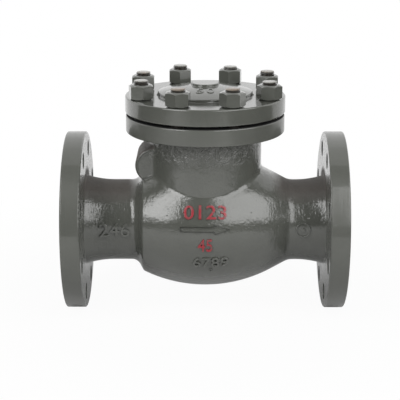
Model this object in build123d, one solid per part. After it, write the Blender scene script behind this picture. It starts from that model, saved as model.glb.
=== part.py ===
from build123d import *
import os
from math import atan2, cos, radians, sin, sqrt, tan

# Flanged swing check valve with a bolted cover, in millimetres.
# The origin is the centre of the inlet's raised face. +X is the way of the flow and +Z points to
# the cover. The outlines below are drawn about the valve's own centre, midway between the ends.

# End flanges
face_to_face = 310.0
port_diameter = 76.0
end_flange_diameter = 195.0
end_flange_thickness = 24.0
end_flange_edge_radius = 1.6
raised_face_height = 3.0
raised_face_clearance = 3.5
end_bolt_count = 8
end_bolt_hole_diameter = 18.0
end_bolt_inset = 17.5

# Waists, which flare up to the end flanges in a long arc
waist_wall = 6.4
flare_rise = 4.9
flare_radius = 100.0
flare_fillet = 1.5

# Belly: a steep shoulder on the inlet side, a long crown and a slow taper to the outlet
belly_overhang = 11.3
belly_crown_radius = 155.0
belly_wall = 8.0
shoulder_wall = 16.5
shoulder_angle = 62.0
shoulder_foot_fillet = 11.0
shoulder_top_fillet = 5.0
taper_angle = 28.0
taper_foot_fillet = 18.0
chamber_front_fillet = 6.0

# Neck and bonnet flange
neck_clearance = 10.5
neck_wall = 8.4
neck_foot_fillet = 8.0
neck_top_fillet = 3.5
barrel_headroom = 14.5
bonnet_step = 0.6
bonnet_thickness = 18.3
bonnet_edge_radius = 1.5

# Cover, its tongue in the bonnet flange's recess, and the gasket between them
cover_margin = 13.05
cover_thickness = 18.0
cover_edge_radius = 1.6
cover_gap = 3.0
recess_land = 9.5
recess_depth = 5.0
gasket_thickness = 3.0
gasket_width = 8.5
tongue_clearance = 0.4
plateau_clearance = 8.4
plateau_height = 3.4
plateau_fillet = 1.5
dome_rise = 7.4
cap_boss_diameter = 29.4
cap_boss_height = 2.8
cap_boss_fillet = 1.0
hollow_diameter = 88.0
hollow_depth = 6.0

# Cover studs and nuts. Each stud stands up past its nut by its own amount, and each nut is turned
# by its own angle, counted from the outlet side towards the far side.
stud_diameter = 16.0
stud_land = 3.25
stud_hole_clearance = 1.0
stud_end_chamfer = 1.4
stud_stands = (5.0, 3.2, 4.6, 4.0, 4.5, 3.5, 3.8, 3.5)
stud_foot_inset = 0.6
thread_clearance = 0.05
nut_across_flats = 24.0
nut_height = 16.2
nut_turns = (26.0, 22.0, 30.0, 30.0, -17.0, 20.0, 2.0, -10.0)
nut_chamfer_angle = 30.0
nut_face_ratio = 0.85

# Hinge barrel, pin and plug
hinge_setback = 6.0
hinge_lift = 25.1
barrel_wall = 6.1
barrel_length = 55.0
barrel_edge_radius = 2.2
hub_clearance = 2.5
pocket_length = 30.0
pin_diameter = 12.0
pin_clearance = 0.05
pin_end_play = 0.3
pin_blind_wall = 6.0
pin_end_chamfer = 0.8
plug_boss_land = 2.5
plug_boss_reach = 19.0
plug_boss_edge_radius = 1.2
plug_thread_diameter = 18.0
plug_thread_length = 12.0
plug_across_flats = 24.0
plug_head_height = 9.0
plug_gasket_width = 3.5
plug_gasket_thickness = 1.5

# Seat
seat_back = 50.0
seat_ring_length = 10.0
seat_ring_width = 6.0
seat_ring_chamfer = 1.5
seat_clearance = 0.05
seat_boss_wall = 4.5
seat_boss_height = 4.0
seat_ring_stand = 4.0

# Disc with its stem
disc_lap = 4.5
disc_rim_thickness = 8.0
disc_face_width = 5.0
disc_face_height = 1.0
disc_boss_diameter = 30.0
disc_boss_height = 4.0
disc_edge_chamfer = 1.0
stem_diameter = 16.0
stem_shoulder = 1.0
stem_end_length = 7.0
stem_end_chamfer = 1.2
disc_washer_diameter = 28.0
disc_washer_thickness = 2.5
disc_nut_across_flats = 21.0
disc_nut_height = 11.0
split_pin_diameter = 2.8
split_pin_clearance = 0.1
split_pin_eye_radius = 2.6
split_pin_leg_ratio = 0.7
split_pin_leg_length = 5.0
split_pin_leg_angle = 50.0

# Hinge arm
hub_wall = 5.0
hub_side_play = 1.0
hinge_clearance = 0.08
eye_diameter = 30.0
eye_thickness = 10.0
eye_clearance = 0.3
disc_end_play = 0.3
web_thickness = 8.0
web_width = 20.0
web_edge_radius = 1.5
web_knee_drop = 1.0
web_knee_fillet = 9.0
web_crook_fillet = 6.0
stop_proud = 1.5

# Places and sizes that follow from those above, outwards from the port
centre_x = face_to_face / 2
port_radius = port_diameter / 2
waist_radius = port_radius + waist_wall
end_bolt_circle = end_flange_diameter - 2 * end_bolt_inset
raised_face_diameter = end_bolt_circle - end_bolt_hole_diameter - 2 * raised_face_clearance
disc_diameter = port_diameter + 2 * disc_lap
neck_bore_diameter = disc_diameter + 2 * neck_clearance
neck_diameter = neck_bore_diameter + 2 * neck_wall
belly_diameter = neck_diameter + 2 * belly_overhang
seat_ring_diameter = port_diameter + 2 * seat_ring_width
seat_boss_diameter = seat_ring_diameter + 2 * seat_boss_wall
recess_diameter = neck_bore_diameter + 2 * recess_land
stud_circle = recess_diameter + stud_diameter + 2 * stud_land
stud_hole_diameter = stud_diameter + 2 * stud_hole_clearance
cover_diameter = stud_circle + 2 * cover_margin
bonnet_diameter = cover_diameter - 2 * bonnet_step
nut_corner_diameter = nut_across_flats * 2 / sqrt(3)
plateau_diameter = stud_circle - nut_corner_diameter - 2 * plateau_clearance

# The seat and the hinge lie so far before the middle, and the hinge so far above the disc.
seat_x = centre_x - seat_back
chamber_front_x = seat_x - seat_boss_height - seat_ring_stand
hinge_x = seat_x - hinge_setback
hinge_height = disc_diameter / 2 + hinge_lift
hub_outer_diameter = pin_diameter + 2 * hub_wall
pocket_diameter = hub_outer_diameter + 2 * hub_clearance
barrel_diameter = pocket_diameter + 2 * barrel_wall
barrel_end = barrel_length / 2
pocket_end = pocket_length / 2
plug_gasket_diameter = plug_thread_diameter + 2 * plug_gasket_width
plug_boss_diameter = plug_gasket_diameter + 2 * plug_boss_land
plug_boss_end = barrel_end + plug_boss_reach
plug_inner_end = plug_boss_end - plug_thread_length

# Heights of the bonnet flange and the cover
bonnet_underside = hinge_height + barrel_diameter / 2 + barrel_headroom
bonnet_top = bonnet_underside + bonnet_thickness
recess_floor = bonnet_top - recess_depth
tongue_foot = recess_floor + gasket_thickness
cover_underside = bonnet_top + cover_gap
cover_top = cover_underside + cover_thickness
plateau_top = cover_top + plateau_height
nut_top = cover_top + nut_height

# Stations along the disc's stem
disc_rim_x = seat_x + disc_rim_thickness
disc_boss_x = disc_rim_x + disc_boss_height
eye_front_x = disc_boss_x + disc_end_play
eye_back_x = eye_front_x + eye_thickness
washer_front_x = eye_back_x + disc_end_play
washer_back_x = washer_front_x + disc_washer_thickness
disc_nut_back_x = washer_back_x + disc_nut_height
stem_end_x = disc_nut_back_x + stem_end_length
split_pin_x = disc_nut_back_x + stem_end_length / 2
stem_thread_diameter = stem_diameter - 2 * stem_shoulder


def lathe_x(outline):
    """Turn an outline of (x, radius) points drawn on the XZ plane round the flow axis."""
    return revolve(Plane.XZ * outline, axis=Axis.X)


def lathe_z(outline):
    """Turn an outline of (radius, z) points round the neck's axis."""
    turned = revolve(Plane.XZ * outline, axis=Axis.Z)
    return Pos(centre_x, 0, 0) * turned


def polygon(*points):
    """A flat outline through the points given."""
    return make_face(Polyline(*points, close=True))


def rounded(outline, corner, radius):
    """Round the corner of a flat outline that lies nearest to the point given."""
    vertex = outline.vertices().sort_by_distance(Vector(*corner))[0]
    return fillet(vertex, radius)


def rod_x(diameter, start, end, height=0.0):
    """A round rod along X from start to end."""
    rod = Cylinder(diameter / 2, end - start)
    return Pos((start + end) / 2, 0, height) * Rot(0, 90, 0) * rod


def rod_y(diameter, start, end):
    """A round rod along Y from start to end, on the hinge axis."""
    rod = Cylinder(diameter / 2, end - start)
    return Pos(hinge_x, (start + end) / 2, hinge_height) * Rot(90, 0, 0) * rod


def rod_z(diameter, bottom, top):
    """A round rod along Z from bottom to top, on the neck's axis."""
    return Pos(centre_x, 0, (bottom + top) / 2) * Cylinder(diameter / 2, top - bottom)


def ring_x(outer, inner, start, end):
    """A ring round the flow axis from start to end."""
    return rod_x(outer, start, end) - rod_x(inner, start - 1, end + 1)


def meets_arc(foot, direction, arc_centre, arc_radius):
    """The point where a line that starts inside a circle reaches it."""
    across = foot[0] - arc_centre[0]
    along = foot[1] - arc_centre[1]
    lean = across * direction[0] + along * direction[1]
    reach = sqrt(lean**2 + arc_radius**2 - across**2 - along**2) - lean
    return (foot[0] + reach * direction[0], foot[1] + reach * direction[1])


def belly_outline(base, crown, crown_radius, front_x, front_angle):
    """Half of the belly's section: a front wall, a crown arc and a taper down to the outlet.

    The front wall rises from the base radius at front_x, and the taper leaves the crown arc as its
    tangent. Also gives the corners that the section may be rounded at.
    """
    arc_centre = (centre_x, crown - crown_radius)
    front_foot = (front_x, base)
    front_way = (cos(radians(front_angle)), sin(radians(front_angle)))
    front_top = meets_arc(front_foot, front_way, arc_centre, crown_radius)
    taper_slope = tan(radians(taper_angle))
    back_top = (
        centre_x + crown_radius * sin(radians(taper_angle)),
        arc_centre[1] + crown_radius * cos(radians(taper_angle)),
    )
    back_foot = (back_top[0] + (back_top[1] - base) / taper_slope, base)
    below = [front_top, front_foot, (front_x, 0), (back_foot[0], 0), back_foot, back_top]
    crown_arc = ThreePointArc(front_top, (centre_x, crown), back_top)
    section = make_face(Wire([*Polyline(*below).edges(), *crown_arc.edges()]))
    return section, front_foot, front_top, back_foot


def outer_belly():
    """The belly and the two waists, as one turned form."""
    section, front_foot, front_top, back_foot = belly_outline(
        waist_radius,
        belly_diameter / 2,
        belly_crown_radius,
        chamber_front_x - shoulder_wall,
        shoulder_angle,
    )
    waist_length = face_to_face - 2 * end_flange_thickness
    section += Pos(centre_x, waist_radius / 2) * Rectangle(waist_length, waist_radius)
    section = rounded(section, front_foot, shoulder_foot_fillet)
    section = rounded(section, front_top, shoulder_top_fillet)
    section = rounded(section, back_foot, taper_foot_fillet)
    return lathe_x(section)


def chamber():
    """The hollow inside the belly, one wall inside it, down to the port at its outlet end."""
    section, front_foot, front_top, back_foot = belly_outline(
        port_radius,
        belly_diameter / 2 - belly_wall,
        belly_crown_radius - belly_wall,
        chamber_front_x,
        90.0,
    )
    section = rounded(section, front_top, chamber_front_fillet)
    seat_boss = ring_x(
        seat_boss_diameter,
        port_diameter,
        chamber_front_x - 1,
        chamber_front_x + seat_boss_height,
    )
    return lathe_x(section) - seat_boss


def end_flange():
    """The inlet flange with its raised face, flare and bolt holes, before its port is bored."""
    rim = end_flange_diameter / 2
    face = raised_face_diameter / 2
    flare = waist_radius + flare_rise
    flare_end = end_flange_thickness + sqrt(flare_rise * (2 * flare_radius - flare_rise))
    corners = Polyline(
        (flare_end, waist_radius),
        (flare_end, 0),
        (0, 0),
        (0, face),
        (raised_face_height, face),
        (raised_face_height, rim),
        (end_flange_thickness, rim),
        (end_flange_thickness, flare),
    )
    # The flare is an arc that leaves the waist as its tangent.
    half_turn = radians(90) - atan2(flare_radius - flare_rise, flare_end - end_flange_thickness)
    flare_middle = (
        flare_end - flare_radius * sin(half_turn / 2),
        waist_radius + flare_radius * (1 - cos(half_turn / 2)),
    )
    arc = ThreePointArc((end_flange_thickness, flare), flare_middle, (flare_end, waist_radius))
    section = make_face(Wire([*corners.edges(), *arc.edges()]))
    section = rounded(section, (raised_face_height, rim), end_flange_edge_radius)
    section = rounded(section, (end_flange_thickness, rim), end_flange_edge_radius)
    section = rounded(section, (end_flange_thickness, flare), flare_fillet)
    flange = lathe_x(section)
    for number in range(end_bolt_count):
        # The holes straddle the vertical centreline.
        angle = radians((number + 0.5) * 360 / end_bolt_count)
        across = end_bolt_circle / 2 * sin(angle)
        up = end_bolt_circle / 2 * cos(angle)
        hole = rod_x(end_bolt_hole_diameter, -1, end_flange_thickness + 1)
        flange -= Pos(0, across, up) * hole
    return flange


def stud_places():
    """The eight stud centres, counted from the outlet side towards the far side."""
    places = []
    for number in range(len(stud_stands)):
        angle = radians((number + 0.5) * 360 / len(stud_stands))
        x = centre_x + stud_circle / 2 * cos(angle)
        y = stud_circle / 2 * sin(angle)
        places.append((x, y))
    return places


def neck_foot_edges(shell):
    """The edges where the upright neck comes out of the belly."""
    picked = []
    for edge in shell.edges():
        middle = edge @ 0.5
        from_axis = sqrt((middle.X - centre_x) ** 2 + middle.Y**2)
        on_neck = abs(from_axis - neck_diameter / 2) < 0.01
        if on_neck and 1 < middle.Z < bonnet_underside - 1 and edge.geom_type != GeomType.LINE:
            picked.append(edge)
    return picked


def make_body():
    """The cast body: ends, waists, belly, neck, bonnet flange and hinge barrel."""
    barrel = rod_y(barrel_diameter, -barrel_end, barrel_end)
    barrel = fillet(barrel.edges().filter_by(GeomType.CIRCLE), barrel_edge_radius)
    shell = outer_belly() + rod_z(neck_diameter, 0, bonnet_underside) + barrel
    shell = fillet(neck_foot_edges(shell), neck_foot_fillet)
    # The plug's narrower boss runs on from the far end of the barrel until its face clears the neck.
    plug_boss = rod_y(plug_boss_diameter, 0, plug_boss_end)
    plug_boss = fillet(plug_boss.edges().sort_by(Axis.Y)[-1], plug_boss_edge_radius)
    shell += plug_boss
    bonnet_section = polygon(
        (0, bonnet_underside - neck_top_fillet),
        (neck_diameter / 2, bonnet_underside - neck_top_fillet),
        (neck_diameter / 2, bonnet_underside),
        (bonnet_diameter / 2, bonnet_underside),
        (bonnet_diameter / 2, bonnet_top),
        (0, bonnet_top),
    )
    bonnet_section = rounded(bonnet_section, (neck_diameter / 2, bonnet_underside), neck_top_fillet)
    for height in (bonnet_underside, bonnet_top):
        bonnet_section = rounded(bonnet_section, (bonnet_diameter / 2, height), bonnet_edge_radius)
    shell += lathe_z(bonnet_section)
    inlet = end_flange()
    shell += inlet
    shell += Pos(face_to_face, 0, 0) * Rot(0, 180, 0) * inlet

    shell -= chamber()
    shell -= rod_x(port_diameter, -1, seat_x)
    shell -= rod_x(port_diameter, centre_x, face_to_face + 1)
    shell -= rod_z(neck_bore_diameter, 0, bonnet_top + 1)
    shell -= rod_z(recess_diameter, recess_floor, bonnet_top + 1)
    seat_bore = seat_ring_diameter + 2 * seat_clearance
    shell -= rod_x(seat_bore, seat_x - seat_ring_length, seat_x)

    # The pocket for the arm's hub is round towards the inlet and opens into the neck and chamber.
    shell -= rod_y(pocket_diameter, -pocket_end, pocket_end)
    slot_floor = port_radius + pocket_diameter / 4
    slot_top = hinge_height + pocket_diameter / 2
    slot = Box(centre_x - chamber_front_x, pocket_length, slot_top - slot_floor)
    shell -= Pos((chamber_front_x + centre_x) / 2, 0, (slot_floor + slot_top) / 2) * slot
    pin_bore = pin_diameter + 2 * pin_clearance
    shell -= rod_y(pin_bore, pin_blind_wall - barrel_end, plug_boss_end)
    plug_bore = plug_thread_diameter + 2 * thread_clearance
    shell -= rod_y(plug_bore, plug_inner_end, plug_boss_end + 1)

    tapped = stud_diameter + 2 * thread_clearance
    for x, y in stud_places():
        shell -= Pos(x - centre_x, y, 0) * rod_z(tapped, bonnet_underside - 1, bonnet_top + 1)
    return shell


def make_cover():
    """The cover: a turned plate with a tongue below, and a domed plateau and a small boss on top."""
    rim = cover_diameter / 2
    tongue = recess_diameter / 2 - tongue_clearance
    plateau = plateau_diameter / 2
    boss = cap_boss_diameter / 2
    hollow = hollow_diameter / 2
    # The dome is part of a ball that passes through the plateau's rim and rises by dome_rise.
    dome_radius = (plateau**2 + dome_rise**2) / (2 * dome_rise)
    dome_centre = plateau_top + dome_rise - dome_radius
    boss_foot = dome_centre + sqrt(dome_radius**2 - boss**2)
    boss_top = boss_foot + cap_boss_height
    part_way = (plateau + boss) / 2
    dome_middle = (part_way, dome_centre + sqrt(dome_radius**2 - part_way**2))
    corners = Polyline(
        (boss, boss_foot),
        (boss, boss_top),
        (0, boss_top),
        (0, tongue_foot + hollow_depth),
        (hollow - hollow_depth, tongue_foot + hollow_depth),
        (hollow, tongue_foot),
        (tongue, tongue_foot),
        (tongue, cover_underside),
        (rim, cover_underside),
        (rim, cover_top),
        (plateau, cover_top),
        (plateau, plateau_top),
    )
    dome = ThreePointArc((plateau, plateau_top), dome_middle, (boss, boss_foot))
    section = make_face(Wire([*corners.edges(), *dome.edges()]))
    for height in (cover_underside, cover_top):
        section = rounded(section, (rim, height), cover_edge_radius)
    for height in (cover_top, plateau_top):
        section = rounded(section, (plateau, height), plateau_fillet)
    for height in (boss_foot, boss_top):
        section = rounded(section, (boss, height), cap_boss_fillet)
    cover = lathe_z(section)
    for x, y in stud_places():
        cover -= Pos(x - centre_x, y, 0) * rod_z(stud_hole_diameter, tongue_foot - 1, cover_top + 1)
    return cover


def make_cover_gasket():
    """The flat ring that seals the cover."""
    outer = recess_diameter - 2 * tongue_clearance
    ring = rod_z(outer, recess_floor, tongue_foot)
    return ring - rod_z(outer - 2 * gasket_width, recess_floor - 1, tongue_foot + 1)


def make_stud(stands):
    """One cover stud on the Z axis, from inside the bonnet flange to past its nut."""
    bottom = bonnet_underside + stud_foot_inset
    top = nut_top + stands
    stud = Pos(0, 0, (bottom + top) / 2) * Cylinder(stud_diameter / 2, top - bottom)
    return chamfer(stud.edges().filter_by(GeomType.CIRCLE), stud_end_chamfer)


def make_nut(across_flats, height, bore_diameter):
    """A hexagon nut on the Z axis, with both faces chamfered, standing on z = 0."""
    corner = across_flats / sqrt(3)
    face = nut_face_ratio * across_flats / 2
    drop = (corner - face) * tan(radians(nut_chamfer_angle))
    prism = extrude(RegularPolygon(across_flats / 2, 6, major_radius=False), height)
    envelope = polygon(
        (0, 0),
        (face, 0),
        (corner, drop),
        (corner, height - drop),
        (face, height),
        (0, height),
    )
    nut = prism & revolve(Plane.XZ * envelope, axis=Axis.Z)
    return nut - Pos(0, 0, height / 2) * Cylinder(bore_diameter / 2, height + 2)


def make_hinge_pin():
    """The plain pin that the arm swings on, from its blind bore to the plug."""
    start = pin_blind_wall - barrel_end + pin_end_play
    end = plug_inner_end - pin_end_play
    pin = rod_y(pin_diameter, start, end)
    return chamfer(pin.edges().filter_by(GeomType.CIRCLE), pin_end_chamfer)


def make_pin_plug():
    """The hexagon-headed plug in the far end of the barrel."""
    gasket_face = plug_boss_end + plug_gasket_thickness
    head = make_nut(plug_across_flats, plug_head_height, plug_thread_diameter)
    head = Pos(hinge_x, gasket_face, hinge_height) * Rot(-90, 0, 0) * head
    return head + rod_y(plug_thread_diameter, plug_inner_end, gasket_face + plug_head_height)


def make_pin_plug_gasket():
    """The ring under the plug's head."""
    outer_face = plug_boss_end + plug_gasket_thickness
    outer = rod_y(plug_gasket_diameter, plug_boss_end, outer_face)
    bore = plug_thread_diameter + 2 * thread_clearance
    return outer - rod_y(bore, plug_boss_end - 1, outer_face + 1)


def make_seat_ring():
    """The ring that the disc closes on, with its outer corner taken off."""
    outer = seat_ring_diameter / 2
    section = polygon(
        (seat_x - seat_ring_length, port_radius),
        (seat_x - seat_ring_length, outer),
        (seat_x - seat_ring_chamfer, outer),
        (seat_x, outer - seat_ring_chamfer),
        (seat_x, port_radius),
    )
    return lathe_x(section)


def make_disc():
    """The closing disc: a raised face ring towards the seat, a boss and a shouldered stem."""
    rim = disc_diameter / 2
    boss = disc_boss_diameter / 2
    stem = stem_diameter / 2
    thread = stem_thread_diameter / 2
    face_inner = rim - disc_edge_chamfer - disc_face_width
    section = polygon(
        (seat_x + disc_face_height, 0),
        (seat_x + disc_face_height, face_inner - disc_face_height),
        (seat_x, face_inner),
        (seat_x, rim - disc_edge_chamfer),
        (seat_x + disc_edge_chamfer, rim),
        (disc_rim_x - disc_edge_chamfer, rim),
        (disc_rim_x, rim - disc_edge_chamfer),
        (disc_rim_x, face_inner),
        (disc_boss_x, boss),
        (disc_boss_x, stem),
        (washer_front_x, stem),
        (washer_front_x, thread),
        (stem_end_x - stem_end_chamfer, thread),
        (stem_end_x, thread - stem_end_chamfer),
        (stem_end_x, 0),
    )
    hole = Cylinder(split_pin_diameter / 2 + split_pin_clearance, stem_diameter)
    return lathe_x(section) - Pos(split_pin_x, 0, 0) * hole


def make_disc_washer():
    """The washer against the stem's shoulder."""
    bore = stem_thread_diameter + 2 * thread_clearance
    return ring_x(disc_washer_diameter, bore, washer_front_x, washer_back_x)


def make_disc_nut():
    """The nut that holds the washer."""
    bore = stem_thread_diameter + 2 * thread_clearance
    nut = make_nut(disc_nut_across_flats, disc_nut_height, bore)
    return Pos(washer_back_x, 0, 0) * Rot(0, 90, 0) * nut


def make_disc_split_pin():
    """The split pin through the stem's end, with its eye above and its two legs bent apart."""
    wire = split_pin_diameter / 2
    top = stem_thread_diameter / 2 + wire
    shank = Cylinder(wire, 2 * top)
    eye = Pos(0, 0, top + split_pin_eye_radius) * Rot(0, 90, 0) * Torus(split_pin_eye_radius, wire / 2)
    pin = shank + eye
    for side in (-1, 1):
        leg = Cylinder(wire * split_pin_leg_ratio, split_pin_leg_length)
        leg = Pos(0, 0, -split_pin_leg_length / 2) * leg
        pin += Pos(0, 0, wire / 2 - top) * Rot(side * split_pin_leg_angle, 0, 0) * leg
    return Pos(split_pin_x, 0, 0) * pin


def make_hinge_arm():
    """The arm: a hub on the pin, a cranked web and an eye round the disc's stem."""
    half_hub = pocket_end - hub_side_play
    hub_radius = hub_outer_diameter / 2
    web_middle = (eye_front_x + eye_back_x) / 2
    web_front = web_middle - web_thickness / 2
    web_back = web_middle + web_thickness / 2
    # The web leaves the hub low, so that its top stays under the pocket's lip when the disc is up.
    stop_reach = pocket_diameter / 2 + stop_proud
    knee = (web_back, hinge_height - hub_radius - web_knee_drop)
    crook = (web_front, hinge_height - hub_radius - web_thickness)
    outline = polygon(
        (hinge_x, hinge_height),
        (hinge_x + hub_radius * 0.8, hinge_height + hub_radius * 0.5),
        (hinge_x + stop_reach, hinge_height),
        knee,
        (web_back, 0),
        (web_front, 0),
        crook,
        (hinge_x + hub_radius * 0.3, hinge_height - hub_radius * 0.9),
    )
    outline = rounded(outline, knee, web_knee_fillet)
    outline = rounded(outline, crook, web_crook_fillet)
    web = extrude(Plane.XZ * outline, web_width / 2, both=True)
    web = fillet(web.faces().sort_by(Axis.Y)[-1].edges(), web_edge_radius)
    web = fillet(web.faces().sort_by(Axis.Y)[0].edges(), web_edge_radius)
    arm = web + rod_y(hub_outer_diameter, -half_hub, half_hub)
    arm += rod_x(eye_diameter, eye_front_x, eye_back_x)
    arm -= rod_y(pin_diameter + 2 * hinge_clearance, -barrel_end, barrel_end)
    return arm - rod_x(stem_diameter + 2 * eye_clearance, eye_front_x - 1, eye_back_x + 1)


def write_parts():
    """Write one file for each piece."""
    pieces = {
        "body": make_body(),
        "seat_ring": make_seat_ring(),
        "cover": make_cover(),
        "cover_gasket": make_cover_gasket(),
        "hinge_pin": make_hinge_pin(),
        "pin_plug": make_pin_plug(),
        "pin_plug_gasket": make_pin_plug_gasket(),
        "hinge_arm": make_hinge_arm(),
        "disc": make_disc(),
        "disc_washer": make_disc_washer(),
        "disc_nut": make_disc_nut(),
        "disc_split_pin": make_disc_split_pin(),
    }
    nut_bore = stud_diameter + 2 * thread_clearance
    for number, (x, y) in enumerate(stud_places()):
        stud = make_stud(stud_stands[number])
        nut = make_nut(nut_across_flats, nut_height, nut_bore)
        pieces[f"cover_stud_{number + 1}"] = Pos(x, y, 0) * stud
        pieces[f"cover_nut_{number + 1}"] = Pos(x, y, cover_top) * Rot(0, 0, nut_turns[number]) * nut
    os.makedirs("parts", exist_ok=True)
    for name, piece in pieces.items():
        export_step(piece, f"parts/{name}.step")


write_parts()
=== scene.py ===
"""Looks of a flanged swing check valve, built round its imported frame. Lengths are in metres."""
import logging
import math
from dataclasses import dataclass
from enum import Enum

import bmesh
import bpy
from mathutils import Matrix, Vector
from mathutils.bvhtree import BVHTree


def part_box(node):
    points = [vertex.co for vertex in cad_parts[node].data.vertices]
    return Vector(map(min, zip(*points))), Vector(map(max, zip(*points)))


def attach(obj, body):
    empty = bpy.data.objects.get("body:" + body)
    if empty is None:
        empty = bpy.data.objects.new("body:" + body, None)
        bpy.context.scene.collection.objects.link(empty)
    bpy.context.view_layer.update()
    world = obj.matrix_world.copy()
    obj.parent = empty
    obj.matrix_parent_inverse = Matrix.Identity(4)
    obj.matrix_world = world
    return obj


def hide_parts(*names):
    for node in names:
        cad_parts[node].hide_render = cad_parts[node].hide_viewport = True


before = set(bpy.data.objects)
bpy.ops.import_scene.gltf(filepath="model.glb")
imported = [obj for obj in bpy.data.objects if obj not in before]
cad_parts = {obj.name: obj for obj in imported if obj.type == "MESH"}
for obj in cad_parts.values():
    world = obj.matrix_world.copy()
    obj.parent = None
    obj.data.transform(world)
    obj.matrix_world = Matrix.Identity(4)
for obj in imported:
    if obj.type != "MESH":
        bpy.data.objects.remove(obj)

log = logging.getLogger("check_valve")

MM = 0.001
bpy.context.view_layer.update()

# Places read from the frame
BODY_LOW, BODY_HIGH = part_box("body")
COVER_LOW, COVER_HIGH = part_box("cover")
PIN_LOW, PIN_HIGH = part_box("hinge_pin")
MIDDLE_X = (BODY_LOW.x + BODY_HIGH.x) / 2
HALF_LENGTH = (BODY_HIGH.x - BODY_LOW.x) / 2
END_RIM_RADIUS = -BODY_LOW.z
COVER_RIM_RADIUS = (COVER_HIGH.x - COVER_LOW.x) / 2
BONNET_TOP = BODY_HIGH.z
HINGE_X = (PIN_LOW.x + PIN_HIGH.x) / 2
HINGE_Z = (PIN_LOW.z + PIN_HIGH.z) / 2

# Sizes of the casting that its finishes follow
END_FLANGE_THICKNESS = 24 * MM
SEALING_FACE_LIMIT = 70 * MM
PORT_RADIUS = 38 * MM
WAIST_RADIUS = 44.4 * MM
NECK_RADIUS = 61.4 * MM
NECK_BORE_RADIUS = 53 * MM
BONNET_THICKNESS = 18.3 * MM
WALL_MIDDLE_RADIUS = 68.7 * MM
WALL_MIDDLE_CROWN = 151 * MM
CHAMBER_FRONT = 60 * MM
STUD_RADIUS = 8 * MM
BARREL_FILLET = 4 * MM
DIGIT_HEIGHT = 15 * MM

Triple = tuple[float, float, float]
Colour = Triple
# Painted shade: near-black put on the faces at the cover's joint, standing for the shade in the narrow gap
# there.
GAP_SHADE: Colour = (0.006, 0.006, 0.006)


class Field:
    """A number that varies over a surface, worked out by shader nodes."""

    def __init__(self, shader: "Shader", socket: bpy.types.NodeSocket) -> None:
        """Wraps an output socket.

        Args:
            shader: The shader that the socket belongs to.
            socket: The node output that gives the number.
        """
        self.shader = shader
        self.socket = socket

    def worked(self, operation: str, *others: "Field | float", clamp: bool = False) -> "Field":
        """Adds a Math node to this number.

        Args:
            operation: The Math node's operation.
            others: The other numbers that it takes.
            clamp: Whether the result is held between 0 and 1.

        Returns:
            The Math node's result.
        """
        node = self.shader.tree.nodes.new("ShaderNodeMath")
        node.operation = operation
        node.use_clamp = clamp
        for place, value in enumerate((self, *others)):
            self.shader.feed(node.inputs[place], value)
        return Field(self.shader, node.outputs[0])

    def __add__(self, other: "Field | float") -> "Field":
        """The sum of two numbers."""
        return self.worked("ADD", other)

    def __sub__(self, other: "Field | float") -> "Field":
        """The difference of two numbers."""
        return self.worked("SUBTRACT", other)

    def __mul__(self, other: "Field | float") -> "Field":
        """The product of two numbers."""
        return self.worked("MULTIPLY", other)

    def root(self) -> "Field":
        """The square root."""
        return self.worked("SQRT")

    def size(self) -> "Field":
        """The number without its sign."""
        return self.worked("ABSOLUTE")

    def either(self, other: "Field") -> "Field":
        """The larger of two masks."""
        return self.worked("MAXIMUM", other)

    def rises(self, edge: float, width: float) -> "Field":
        """A mask that goes from 0 to 1 over a width centred on an edge.

        Args:
            edge: The value where the mask is one half.
            width: How far the change takes.

        Returns:
            The mask.
        """
        return (self - (edge - width / 2)).worked("MULTIPLY", 1 / width, clamp=True)

    def falls(self, edge: float, width: float) -> "Field":
        """A mask that goes from 1 to 0 over a width centred on an edge."""
        return self.rises(edge, width).flipped()

    def flipped(self) -> "Field":
        """One minus the number, held between 0 and 1."""
        return (self * -1.0).worked("ADD", 1.0, clamp=True)


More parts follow.
